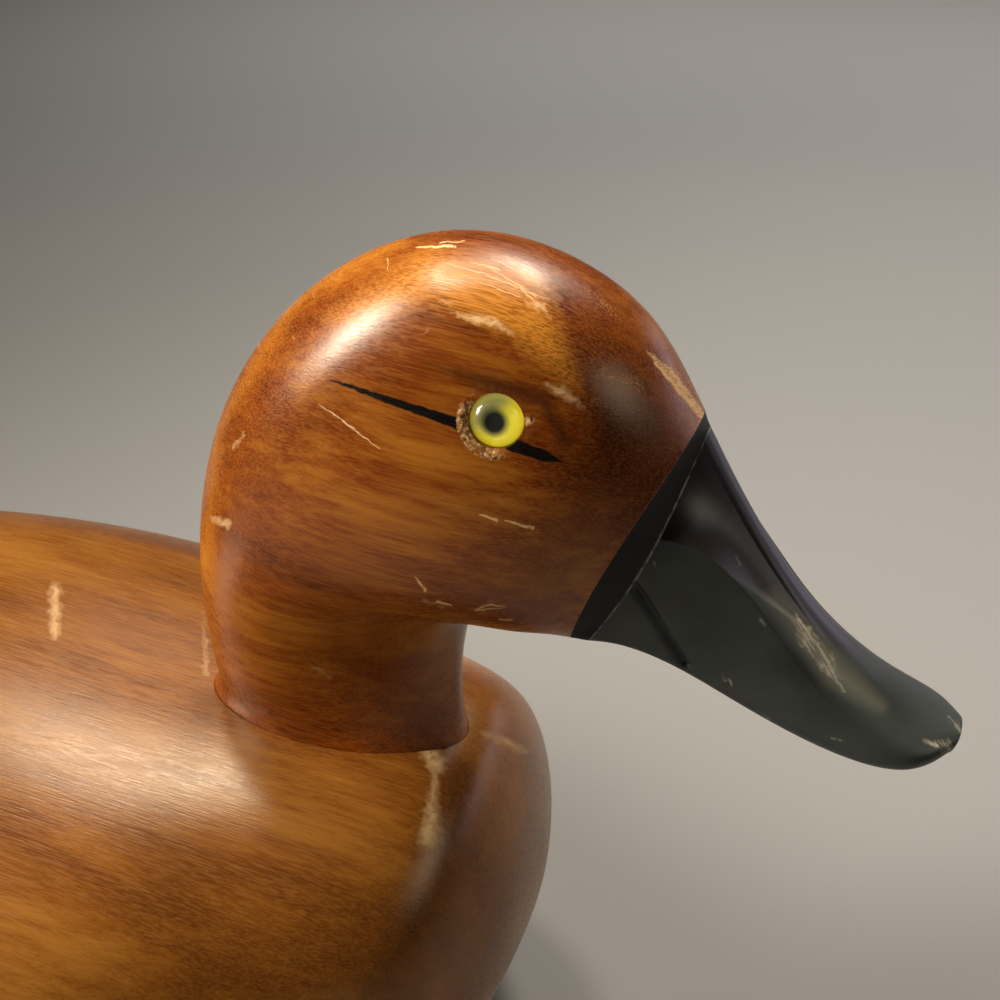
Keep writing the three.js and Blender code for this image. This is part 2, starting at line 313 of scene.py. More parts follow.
def buildHead():
    columns = sectionColumns()
    footRing = headRing(0.0, columns)
    rings = closeRing(footRing, head["footCap"])
    rows = [0.0] * len(rings)
    for t in [*np.linspace(0, 1, head["rings"])[:-1], head["lastRing"], 1.0]:
        rings.append(headRing(t, columns))
        rows.append(faceRow * t)
    faceEdge, billStart = rings[-1], billRing(0.0, columns)
    for share in head["faceShares"]:
        rings.append(faceEdge + (billStart - faceEdge) * share)
        rows.append(faceRow + (billRow - faceRow) * share)
    for t in [0, bill["firstRing"], *np.linspace(0, bill["tipStart"], bill["rings"])[1:]]:
        rings.append(pressGape(billRing(t, columns)))
        rows.append(billRow + billRows * t)
    reach = (bill["tipReach"] - rings[-1][:, 0].mean(), 0, -bill["tipDrop"])
    tip = closeRing(rings[-1], bill["tipShares"], reach)
    rings += tip
    rows += [1.0] * len(tip)
    rings = np.array(rings) + neckJoint
    return wrapSkin("head_carving", rings, rows, columns / (2 * halfSides))


# Body

body = {
    "stations": [  # x from the neck joint and half width; heights of back, side and belly, mm
        ((-255, 3), (82, 80, 78)),
        ((-253, 12), (84, 79, 74)),
        ((-235, 28), (84, 73, 60)),
        ((-200, 47), (86.5, 61, 34)),
        ((-160, 64), (93, 53, 10)),
        ((-120, 76), (96.5, 49, -4)),
        ((-80, 82), (95.8, 47, -8)),
        ((-40, 79), (90.8, 47, -8)),
        ((-5, 62), (89, 48, -5)),
        ((20, 48), (88.5, 50, 5)),
        ((31.5, 36), (81, 51, 22)),
        ((37.5, 19), (67, 52, 37)),
        ((39, 3), (54, 52, 49)),
    ],
    "backFullness": 2.0,
    "bellyFullness": 2.5,
    "rings": 190,
    "sides": 160,
    "cap": (0, 0.5, 0.9),
    "pocketRings": 12,
    "pocketCap": (0, 0.5),
}
fitGap = 0.3  # mm of room round what is let in
seamGap = 0.08  # what shows of the joint round the neck's foot


def bodyRing(t, turns):
    (x, half), (top, middle, foot) = (run(t) for run in bodyRuns)
    up, out = np.cos(turns), np.sin(turns)
    fullness = np.where(up > 0, body["backFullness"], body["bellyFullness"])
    reach = np.where(up > 0, top - middle, middle - foot)
    y = half * np.sign(out) * np.abs(out) ** (2 / fullness)
    z = middle + reach * np.sign(up) * np.abs(up) ** (2 / fullness)
    return np.stack([np.full_like(y, x + neckJoint[0]), y, np.maximum(z, 0)], axis=-1)


bodyRuns = [smoothRun(values) for values in zip(*body["stations"])]


def buildBody():
    turns = np.linspace(0, 2 * math.pi, body["sides"] + 1)
    places = np.linspace(0, 1, body["rings"])
    rings = [bodyRing(t, turns) for t in places]
    tail = closeRing(rings[0], body["cap"])
    breast = closeRing(rings[-1], body["cap"][::-1])
    rows = [0.0] * len(tail) + list(places) + [1.0] * len(breast)
    piece = wrapSkin("body_carving", tail + rings + breast, rows, turns / (2 * math.pi))
    columns = sectionColumns()
    heights = np.linspace(0, head["footEnd"], body["pocketRings"])
    foot = [headRing(t, columns, seamGap) for t in heights]
    floor, roof = closeRing(foot[0], body["pocketCap"]), closeRing(foot[-1], body["pocketCap"][::-1])
    foot = floor + foot + roof
    rows = np.linspace(0, 1, len(foot))
    cutAway(piece, [wrapSkin("pocket", np.array(foot) + neckJoint, rows, columns / (2 * halfSides))])
    return piece


# Eyes

eye = {
    "place": (38.5, 21, 80.5),  # mm from the neck joint, to either side
    "lookUp": 0.32,
    "lookAhead": 0.15,
    "radius": 4.5,
    "puttyWidth": 1.1,
    "socketDepth": 5,
    "clearance": 8,  # well above the skin
    "bevel": (0.8, 0.2),  # the glass's back edge, and its middle point
    "domeHeight": 2.4,
    "domeSink": 0.6,
    "domeSteps": 14,
    "irisDepth": 1.0,
    "irisGap": 0.15,
    "irisBack": (0.5, 0.3),  # how far its back lies behind, at the middle and at the rim
    "irisFront": ((1, -0.05), (0.6, 0.12), (0, 0.2)),  # share of its radius, and how far it is dished
    "steps": 72,
    "weldGap": 1e-6,
    "pupilShift": (-0.4, -0.45, 0),  # towards the neck and down
}
socketRadius = eye["radius"] + eye["puttyWidth"] + 2 * fitGap


def eyeMatrix(hand):
    axis = Vector((eye["lookAhead"], hand, eye["lookUp"])).normalized()
    x, y, z = eye["place"]
    place = Vector(neckJoint) + Vector((x, y * hand, z))
    return Matrix.Translation(place * mm) @ axis.to_track_quat("Z", "Y").to_matrix().to_4x4()


def spinProfile(name, profile, hand):
    # a profile of radius and height, turned on the eye's axis
    bm = bmesh.new()
    verts = [bm.verts.new(Vector((radius, 0, height)) * mm) for radius, height in profile]
    edges = [bm.edges.new(pair) for pair in zip(verts, verts[1:])]
    bmesh.ops.spin(
        bm, geom=verts + edges, axis=(0, 0, 1), cent=(0, 0, 0), steps=eye["steps"],
        angle=2 * math.pi, use_merge=True,
    )
    bmesh.ops.remove_doubles(bm, verts=bm.verts, dist=eye["weldGap"])
    bmesh.ops.recalc_face_normals(bm, faces=bm.faces)
    bmesh.ops.transform(bm, matrix=eyeMatrix(hand), verts=bm.verts)
    return finishMesh(bm, name)


def buildSocket(hand):
    depth, above = -eye["socketDepth"], eye["clearance"]
    profile = [(0, depth), (socketRadius, depth), (socketRadius, above), (0, above)]
    return spinProfile("socket", profile, hand)


def buildGlass(side, hand):
    radius, base = eye["radius"], fitGap - eye["socketDepth"]
    bevel, corner = eye["bevel"]
    profile = [(0, base), (radius - bevel, base), (radius - corner, base + corner), (radius, base + bevel)]
    for step in range(eye["domeSteps"] + 1):
        turn = step / eye["domeSteps"] * math.pi / 2
        profile.append((radius * math.cos(turn), eye["domeHeight"] * math.sin(turn) - eye["domeSink"]))
    profile[-1] = (0, profile[-1][1])
    return spinProfile(f"eye_glass_{side}", profile, hand)


def buildIris(side, hand):
    rim, depth = eye["radius"] - eye["irisGap"], -eye["irisDepth"]
    middle, edge = eye["irisBack"]
    profile = [(0, depth - middle), (rim, depth - edge)]
    profile += [(rim * share, depth - sink) for share, sink in eye["irisFront"]]
    return spinProfile(f"eye_iris_{side}", profile, hand)


putty = {
    "innerGap": 0.05,
    "lip": 0.12,  # the putty is smeared over the socket's rim by this
    "lipRise": 0.006,
    "lipEdge": 0.004,
    "wallGap": 0.02,
    "crumbs": [(176, 30, 1.0), (222, 26, 0.8), (262, 26, 0.9), (6, 13, 0.7)],  # turn, spread, amount
    "crumbHeight": 0.22,
    "speckScales": (2.2, 5.1),
    "fineShare": 0.6,
    "edgeEase": 0.5,
    "trough": 0.9,
    "troughWidth": 0.9,
    "sharpAngle": math.radians(50),
    "sides": 120,
    "steps": 14,
}


def crumbled(turn):
    shares = []
    for middle, spread, amount in putty["crumbs"]:
        gap = (math.degrees(turn) - middle + 180) % 360 - 180
        shares.append(amount * math.exp(-((gap / spread) ** 2)))
    return max(shares)


def buildPutty(side, hand, skin):
    # a ring whose top follows the head's skin, broken where it has crumbled
    matrix = eyeMatrix(hand)
    inner, outer = eye["radius"] + putty["innerGap"], socketRadius + putty["lip"]
    base, wall = fitGap - eye["socketDepth"], socketRadius - putty["wallGap"]
    coarse, fine = putty["speckScales"]
    axis = (matrix.to_3x3() @ Vector((0, 0, 1))).normalized()
    rings, shares = [], []
    for turn in np.linspace(0, 2 * math.pi, putty["sides"] + 1):
        across = Vector((-hand * math.cos(turn), math.sin(turn), 0))
        broken = crumbled(turn)
        outline = []
        for radius in np.linspace(inner, outer, putty["steps"]):
            above = matrix @ ((across * radius + Vector((0, 0, eye["clearance"]))) * mm)
            hit = skin.ray_cast(above, -axis)[0]
            height = (matrix.inverted() @ hit).z / mm + putty["lipRise"]
            ease = 1 - smoothStep(radius, outer - putty["edgeEase"], outer)
            speck = noise.noise(hit / mm * coarse) + putty["fineShare"] * noise.noise(hit / mm * fine)
            trough = (1 - smoothStep(radius, inner, inner + putty["troughWidth"])) * (1 + speck) / 2
            height += broken * ease * (putty["crumbHeight"] * speck - putty["trough"] * max(trough, 0))
            outline.append((radius, height))
        edge = outline[-1][1] - putty["lipEdge"]
        outline += [(outer, edge), (wall, edge - putty["wallGap"]), (wall, base), (inner, base)]
        outline.append(outline[0])
        points = [across * radius + Vector((0, 0, height)) for radius, height in outline]
        rings.append([matrix @ (point * mm) / mm for point in points])
        shares.append(broken)
    bm = bmesh.new()
    crumbs = bm.verts.layers.float.new("crumbs")
    for vert, (row, column) in layGrid(bm, rings).items():
        onTop = column % (len(outline) - 1) < putty["steps"]
        vert[crumbs] = shares[row] if onTop else 0
    piece = closeSkin(bm, f"eye_putty_ring_{side}")
    piece.data.set_sharp_from_angle(angle=putty["sharpAngle"])
    return piece


headPiece = buildHead()
headSkin = BVHTree.FromPolygons(
    [vert.co.copy() for vert in headPiece.data.vertices],
    [tuple(face.vertices) for face in headPiece.data.polygons],
)
cutAway(headPiece, [buildSocket(-1), buildSocket(1)])
print("head carved:", len(headPiece.data.polygons), "faces")
bodyPiece = buildBody()
print("body carved:", len(bodyPiece.data.polygons), "faces")
eyePieces = {}
for side, hand in (("right", -1), ("left", 1)):
    eyePieces[side] = (buildGlass(side, hand), buildIris(side, hand), buildPutty(side, hand, headSkin))
print("eyes set")


# Finishes


class Finish:
    # adds nodes to its own material or to a given tree, and links or sets their sockets
    def __init__(self, name, tree=None):
        if tree is None:
            self.material = bpy.data.materials.new(name)
            self.material.use_nodes = True
            tree = self.material.node_tree
            tree.nodes.clear()
            self.shader = tree.nodes.new("ShaderNodeBsdfPrincipled")
            output = tree.nodes.new("ShaderNodeOutputMaterial")
            tree.links.new(self.shader.outputs[0], output.inputs["Surface"])
        self.tree = tree

    def feed(self, socket, value):
        if isinstance(value, bpy.types.NodeSocket):
            self.tree.links.new(value, socket)
        else:
            socket.default_value = value

    def node(self, kind, values=(), **settings):
        # values for its first sockets, or for those named
        made = self.tree.nodes.new("ShaderNode" + kind)
        for name, value in settings.items():
            setattr(made, name, value)
        for key, value in values.items() if isinstance(values, dict) else enumerate(values):
            self.feed(made.inputs[key], value)
        return made

    def place(self):
        return self.node("TexCoord").outputs["Object"]

    def math(self, operation, *values, clamp=False):
        return self.node("Math", values, operation=operation, use_clamp=clamp).outputs[0]

    def times(self, first, second):
        return self.math("MULTIPLY", first, second)

    def vector(self, operation, *values):
        made = self.node("VectorMath", values, operation=operation)
        return made.outputs["Value" if operation in ("DOT_PRODUCT", "LENGTH", "DISTANCE") else "Vector"]

    def stretched(self, place, scale, turn=(0, 0, 0)):
        values = {"Vector": place, "Scale": scale, "Rotation": turn}
        return self.node("Mapping", values).outputs[0]

    def turned(self, place, axis, angle):
        values = {"Vector": place, "Angle": angle}
        return self.node("VectorRotate", values, rotation_type=axis).outputs[0]

    def grain(self, place, scale, detail, roughness):
        values = {"Vector": place, "Scale": scale, "Detail": detail, "Roughness": roughness}
        return self.node("TexNoise", values).outputs["Fac"]

    def span(self, value, low, high, toLow=0.0, toHigh=1.0, kind="SMOOTHSTEP"):
        values = {"Value": value, "From Min": low, "From Max": high, "To Min": toLow, "To Max": toHigh}
        return self.node("MapRange", values, interpolation_type=kind).outputs["Result"]

    def mix(self, share, first, second):
        made = self.node("Mix", {"Factor": share}, data_type="RGBA")
        colours = [entry for entry in made.inputs if entry.type == "RGBA"]
        for socket, value in zip(colours, (first, second)):
            self.feed(socket, rgba(value) if isinstance(value, tuple) else value)
        return next(entry for entry in made.outputs if entry.type == "RGBA")

    def ramp(self, value, stops):
        made = self.node("ValToRGB")
        self.feed(made.inputs[0], value)
        while len(made.color_ramp.elements) < len(stops):
            made.color_ramp.elements.new(0.5)
        for element, (position, colour) in zip(made.color_ramp.elements, stops):
            element.position = position
            element.color = rgba(colour)
        return made.outputs["Color"]

    def bump(self, height, distance, strength):
        values = {"Height": height, "Distance": distance, "Strength": strength}
        return self.node("Bump", values).outputs["Normal"]

    def surface(self, **sockets):
        for name, value in sockets.items():
            words = name if name == "IOR" else re.sub("(?<=.)([A-Z])", r" \1", name)
            self.feed(self.shader.inputs[words], rgba(value) if isinstance(value, tuple) else value)
        return self.material


def rgba(colour):
    # 0 to 255 as seen on screen, to linear light
    parts = [((part / 255 + 0.055) / 1.055) ** 2.4 if part > 10 else part / 3295 for part in colour]
    return (*parts, 1.0)


# Marks are placed as seen from one point, in thousandths of a picture's width across and down,
# and lie on the duck's right side
viewpoint = {
    "place": (178.2, -237.0, 283.5),  # mm
    "turn": math.radians(18),
    "tilt": math.radians(29.7),
    "reach": 1600,  # the lens's length, in thousandths of the picture's width
    "middle": 500,
    "sensor": 36,
    "clip": (0.01, 50),
}
sinTurn, cosTurn = math.sin(viewpoint["turn"]), math.cos(viewpoint["turn"])
sinTilt, cosTilt = math.sin(viewpoint["tilt"]), math.cos(viewpoint["tilt"])
backward = Vector((sinTurn * cosTilt, -cosTurn * cosTilt, sinTilt))
rightward = Vector((cosTurn, sinTurn, 0))
upward = backward.cross(rightward)


def buildSightGroup():
    # object place to picture place
    tree = bpy.data.node_groups.new("mark place", "ShaderNodeTree")
    tree.interface.new_socket("Place", in_out="INPUT", socket_type="NodeSocketVector")
    tree.interface.new_socket("Seen", in_out="OUTPUT", socket_type="NodeSocketVector")
    paint = Finish("", tree)
    source = tree.nodes.new("NodeGroupInput").outputs["Place"]
    ray = paint.vector("SUBTRACT", source, Vector(viewpoint["place"]) * mm)
    depth = paint.vector("DOT_PRODUCT", ray, -backward)
    across = paint.math("DIVIDE", paint.vector("DOT_PRODUCT", ray, rightward), depth)
    down = paint.math("DIVIDE", paint.vector("DOT_PRODUCT", ray, -upward), depth)
    x = paint.math("MULTIPLY_ADD", across, viewpoint["reach"], viewpoint["middle"])
    y = paint.math("MULTIPLY_ADD", down, viewpoint["reach"], viewpoint["middle"])
    joined = paint.node("CombineXYZ", (x, y, 0.0)).outputs[0]
    tree.links.new(joined, tree.nodes.new("NodeGroupOutput").inputs["Seen"])
    return tree


def buildStrokeGroup():
    # one stroke from start to end, as wide at each as given; Z carries the strokes drawn so far
    tree = bpy.data.node_groups.new("stroke", "ShaderNodeTree")
    tree.interface.new_socket("Drawn", in_out="OUTPUT", socket_type="NodeSocketVector")
    places, widths = ("Seen", "Start", "End"), ("First", "Last", "Soft")
    for name in places + widths:
        kind = "NodeSocketVector" if name in places else "NodeSocketFloat"
        tree.interface.new_socket(name, in_out="INPUT", socket_type=kind)
    paint = Finish("", tree)
    source = tree.nodes.new("NodeGroupInput").outputs
    parts = paint.node("SeparateXYZ", (source["Seen"],)).outputs
    flat = paint.node("CombineXYZ", (parts["X"], parts["Y"], 0.0)).outputs[0]
    along = paint.vector("SUBTRACT", source["End"], source["Start"])
    away = paint.vector("SUBTRACT", flat, source["Start"])
    length = paint.vector("DOT_PRODUCT", along, along)
    share = paint.math("DIVIDE", paint.vector("DOT_PRODUCT", away, along), length, clamp=True)
    foot = paint.node("VectorMath", {"Vector": along, "Scale": share}, operation="SCALE")
    gap = paint.vector("LENGTH", paint.vector("SUBTRACT", away, foot.outputs[0]))
    width = paint.span(share, 0.0, 1.0, source["First"], source["Last"], "LINEAR")
    inside = paint.math("SUBTRACT", width, gap)
    mask = paint.math("DIVIDE", inside, source["Soft"], clamp=True)
    drawn = paint.math("MAXIMUM", mask, parts["Z"])
    joined = paint.node("CombineXYZ", (parts["X"], parts["Y"], drawn)).outputs[0]
    tree.links.new(joined, tree.nodes.new("NodeGroupOutput").inputs["Drawn"])
    return tree


sightGroup = buildSightGroup()
strokeGroup = buildStrokeGroup()


def seenFrom(paint, place):
    return paint.node("Group", (place,), node_tree=sightGroup).outputs["Seen"]


def strokes(paint, seen, finish, name):
    # 1 where any stroke of the mark lies, with soft edges
    for x0, y0, x1, y1, first, last in finish[name]:
        values = (seen, (x0, y0, 0), (x1, y1, 0), first / 2, last / 2, finish[name + "Soft"])
        seen = paint.node("Group", values, node_tree=strokeGroup).outputs["Drawn"]
    return paint.node("SeparateXYZ", (seen,)).outputs["Z"]


def mirrored(paint, place):
    # the left side reads the same places as the right side
    parts = paint.node("SeparateXYZ", (place,)).outputs
    folded = paint.times(paint.math("ABSOLUTE", parts["Y"]), -1.0)
    return paint.node("CombineXYZ", (parts["X"], folded, parts["Z"])).outputs[0]


def markedSide(paint, place):
    # 1 on what faces the viewpoint, 0 on what faces away
    toward = paint.vector("SUBTRACT", Vector(viewpoint["place"]) * mm, place)
    outward = paint.node("TexCoord").outputs["Normal"]
    return paint.span(paint.vector("DOT_PRODUCT", outward, toward), *wear["sideFade"])


def patches(paint, place, finish, name):
    return paint.span(paint.grain(place, *finish[name]), *finish[name + "Show"])


def wavered(paint, seen, reach, size):
    # marks drawn through this have uneven edges
    drift = paint.node("TexNoise", {"Vector": seen, "Scale": 1 / size, "Detail": 2}).outputs["Color"]
    centred = paint.vector("SUBTRACT", drift, Vector((0.5, 0.5, 0.5)))
    return paint.vector("MULTIPLY_ADD", centred, Vector((reach, reach, 0)), seen)


woodGrain = {
    "pitch": 0.12,  # the grain runs down towards the bill by this, in radians
    "cloud": (44, 0.35),  # scale, and how far each is drawn out along the grain
    "bands": (700, 0.05),
    "fibre": (3200, 0.045),
    "flecks": (2300, 0.09),
    "octaves": (3, 0.6),
    "bandShare": 0.3,
    "toneStops": (0.38, 0.5, 0.62),
    "fibreShow": (0.4, 0.66, 0.0, 0.38),
    "flecksShow": (0.56, 0.72, 0.0, 0.34),
    "fleckTone": 0.55,
}

varnish = {
    "bump": (0.0001, 0.4),  # m, and how strong
    "rough": (0.3, 0.7, 0.22, 0.33),
    "wornRough": 0.35,
    "tint": (255, 236, 208),
}

wear = {
    "coarse": (12, 7),  # how far a mark's edge strays, and in what steps
    "fine": (4, 9),
    "patches": (0.16, 3, 0.7),
    "patchesShow": (0.34, 0.54, 0.4, 1.0),
    "scuffShare": 0.85,
    "bareShare": 0.85,
    "sideFade": (0.0, 0.01),
}

# A mark is a few strokes, each (x, y, x, y, width at the start, width at the end), as soft at the
# edges as its Soft entry says. A pattern is scale, detail and roughness, and its Show entry says
# between which of its values it comes in, and how little and how much of it then shows
headFinish = {
    "tones": ((78, 25, 2), (115, 50, 6), (156, 92, 24)),
    "edge": (3, 8),
    "stripeTone": (14, 9, 7),
    "stripeSoft": 1.4,
    "stripe": [
        (331, 380, 400, 404, 3, 10), (400, 404, 468, 427, 9, 14), (512, 445, 545, 456, 15, 12),
        (545, 456, 564, 463, 12, 1),
    ],
    "bare": (226, 180, 120),
    "scuffsSoft": 6,
    "scuffs": [
        (452, 313, 472, 318, 4, 11), (472, 318, 494, 322, 12, 13), (494, 322, 514, 335, 14, 3),
        (438, 301, 452, 303, 3, 5), (526, 301, 540, 306, 4, 11), (540, 306, 552, 319, 11, 2),
        (545, 384, 560, 392, 5, 12), (560, 392, 578, 402, 14, 9), (578, 404, 592, 415, 5, 2),
        (420, 335, 430, 329, 3, 3), (332, 276, 337, 279, 4, 3), (292, 338, 293, 339, 4, 4),
        (313, 295, 315, 296, 3, 3), (258, 344, 261, 348, 4, 3), (214, 519, 227, 524, 9, 12),
        (244, 433, 235, 446, 4, 7), (423, 599, 445, 608, 6, 3), (312, 667, 330, 677, 5, 3),
    ],
    "scratchesSoft": 0.8,
    "scratches": [
        (417, 247, 455, 246, 2, 3.4), (440, 243, 465, 241, 2, 1.5), (388, 258, 387, 270, 1.5, 1),
        (318, 404, 332, 413, 1.2, 2.4), (332, 413, 352, 428, 2.4, 2.4), (352, 428, 380, 449, 2.4, 1.4),
        (480, 515, 497, 520, 2, 4), (505, 521, 533, 528, 2, 4), (415, 577, 425, 590, 2, 4),
        (476, 609, 490, 605, 2, 2.4), (490, 605, 505, 606, 2.4, 1.6), (476, 610, 505, 608, 2, 1.5),
        (500, 620, 512, 620, 2, 2), (445, 263, 482, 273, 1, 1.8), (482, 273, 550, 300, 1.8, 1),
        (462, 275, 520, 297, 1, 1.6), (500, 262, 532, 278, 1, 1.8), (655, 363, 692, 405, 3, 4),
        (492, 258, 540, 284, 1.4, 2.2), (506, 256, 548, 290, 1.6, 1.2), (486, 266, 536, 296, 1.2, 2),
        (470, 262, 500, 270, 1.2, 2), (520, 288, 548, 312, 2, 1.2), (438, 602, 452, 606, 4, 2),
    ],
    "scrape": [(646, 350, 668, 372, 2, 11), (668, 372, 702, 416, 13, 9)],
    "scrapeSoft": 2,
    "streakStretch": (0.25, 0.6, 1.0),
    "streakTurn": (0, 0, -0.9),
    "streaks": (0.8, 2, 0.6),
    "streaksShow": (0.42, 0.56, 0.3, 1.0),
    # painted sheen: a lighter golden band where light falls along the back of the head, over the crown and
    # down the brow
    "crownSheenTone": (192, 120, 36),
    "crownSheenSoft": 26,
    "crownSheenShow": (0.36, 0.6, 0.4, 0.92),
    "crownSheen": [
        (206, 560, 216, 430, 20, 24), (216, 430, 300, 292, 24, 26), (300, 292, 400, 240, 26, 26),
        (336, 320, 430, 276, 36, 70), (430, 276, 520, 306, 70, 84), (520, 306, 572, 384, 84, 34),
    ],
    "eyeHollowShadeTone": (60, 25, 8),  # painted shade in the hollow round the eye
    "eyeHollowShadeSoft": 14,
    "eyeHollowShadeShare": 0.78,
    "eyeHollowShade": [
        (424, 362, 484, 382, 8, 32), (484, 382, 542, 398, 32, 30), (542, 398, 566, 442, 30, 24),
    ],
    # dulled varnish on the crown: only its roughness is raised
    "dullingAndSheen": [(448, 272, 500, 272, 24, 40), (500, 272, 556, 300, 40, 16)],
    "dullingAndSheenSoft": 16,
    "dullingAndSheenShare": 0.6,
    # painted glints: pale specks where the varnish sparkles on the brow and crown
    "glitter": [
        (602, 374, 640, 386, 20, 18), (596, 402, 622, 412, 14, 12), (585, 288, 618, 318, 12, 12),
    ],
    "glitterSoft": 9,
    "glitterShare": 0.7,
    "specks": (0.5, 1, 0.6),
    "specksShow": (0.55, 0.64),
}

bodyFinish = {
    "tones": ((88, 44, 8), (112, 62, 14), (134, 84, 26)),
    "bare": (206, 168, 112),
    "scuffsSoft": 11,
    "scuffs": [
        (55, 590, 55, 634, 17, 15), (430, 754, 436, 764, 26, 24), (436, 768, 433, 800, 10, 17),
        (433, 800, 430, 838, 17, 30), (203, 612, 206, 672, 4, 9), (480, 732, 505, 741, 7, 12),
        (505, 741, 527, 753, 12, 8),
    ],
    "scratchesSoft": 0.8,
    "scratches": [(505, 741, 520, 749, 2, 1)],
}


def drawnOut(paint, place, name):
    scale, share = woodGrain[name]
    return paint.grain(paint.stretched(place, (share, 1.0, 1.0)), scale, *woodGrain["octaves"])


def woodFinish(name, tones):
    paint = Finish(name)
    place = paint.place()
    along = paint.turned(place, "Y_AXIS", -woodGrain["pitch"])
    layers = ("cloud", "bands", "fibre", "flecks")
    cloud, bands, fibre, flecks = (drawnOut(paint, along, layer) for layer in layers)
    share = woodGrain["bandShare"]
    tone = paint.math("MULTIPLY_ADD", bands, share, paint.times(cloud, 1 - share))
    base = paint.ramp(tone, list(zip(woodGrain["toneStops"], tones)))
    base = paint.mix(paint.span(fibre, *woodGrain["fibreShow"]), base, tones[2])
    fleckTone = tuple(part * woodGrain["fleckTone"] for part in tones[0])
    base = paint.mix(paint.span(flecks, *woodGrain["flecksShow"]), base, fleckTone)
    return paint, place, base, fibre


def strayedEdges(paint, seen):
    return wavered(paint, seen, *wear["coarse"]), wavered(paint, seen, *wear["fine"])


def markWood(paint, coarse, fine, base, finish, shown):
    # worn marks over the varnish: pale wood laid bare, and how much of it shows
    scuffed = paint.times(strokes(paint, coarse, finish, "scuffs"), wear["scuffShare"])
    scratched = strokes(paint, fine, finish, "scratches")
    patchy = patches(paint, coarse, wear, "patches")
    bare = paint.times(paint.times(paint.math("MAXIMUM", scuffed, scratched), patchy), shown)
    return paint.mix(paint.times(bare, wear["bareShare"]), base, finish["bare"]), bare


def stripedHead(name):
    paint, place, base, fibre = woodFinish(name, headFinish["tones"])
    seen = wavered(paint, seenFrom(paint, mirrored(paint, place)), *headFinish["edge"])
    # painted shade darkens the hollow round the eye, on the putty too
    eyeHollowShade = paint.times(strokes(paint, seen, headFinish, "eyeHollowShade"), headFinish["eyeHollowShadeShare"])
    base = paint.mix(eyeHollowShade, base, headFinish["eyeHollowShadeTone"])
    stripe = strokes(paint, seen, headFinish, "stripe")
    return paint, place, paint.mix(stripe, base, headFinish["stripeTone"]), fibre


def varnished(paint, base, fibre, bare):
    bumps = paint.bump(fibre, *varnish["bump"])
    rough = paint.math("MULTIPLY_ADD", bare, varnish["wornRough"], paint.span(fibre, *varnish["rough"]))
    return paint.surface(BaseColor=base, Roughness=rough, Normal=bumps, IOR=1.5, SpecularTint=varnish["tint"])


def finishHead():
    paint, place, base, fibre = stripedHead("head_varnished_wood")
    finish = headFinish
    seen, shown = seenFrom(paint, place), markedSide(paint, place)
    coarse, fine = strayedEdges(paint, seen)
    # painted sheen: the lighter golden band along the back of the head, the crown and the brow
    crownSheen = paint.span(fibre, *finish["crownSheenShow"])
    crownSheen = paint.times(strokes(paint, coarse, finish, "crownSheen"), crownSheen)
    base = paint.mix(crownSheen, base, finish["crownSheenTone"])
    base, bare = markWood(paint, coarse, fine, base, finish, shown)
    streaked = paint.stretched(seen, finish["streakStretch"], finish["streakTurn"])
    streaks = patches(paint, streaked, finish, "streaks")
    scraped = paint.times(strokes(paint, fine, finish, "scrape"), streaks)
    # pale specks of bare-wood colour painted as glints, laid in with the real scrape
    specks = paint.times(patches(paint, seen, finish, "specks"), finish["glitterShare"])
    glitter = paint.times(strokes(paint, coarse, finish, "glitter"), specks)
    scrapeAndGlints = paint.times(paint.math("MAXIMUM", scraped, glitter), shown)
    base = paint.mix(paint.times(scrapeAndGlints, wear["bareShare"]), base, finish["bare"])
    dullingAndSheen = paint.times(strokes(paint, seen, finish, "dullingAndSheen"), finish["dullingAndSheenShare"])
    worn = paint.math("MAXIMUM", paint.math("MAXIMUM", bare, scrapeAndGlints), dullingAndSheen)
    return varnished(paint, base, fibre, worn)


def finishBody():
    paint, place, base, fibre = woodFinish("body_varnished_wood", bodyFinish["tones"])
    seen, shown = seenFrom(paint, place), markedSide(paint, place)
    base, bare = markWood(paint, *strayedEdges(paint, seen), base, bodyFinish, shown)
    return varnished(paint, base, fibre, bare)


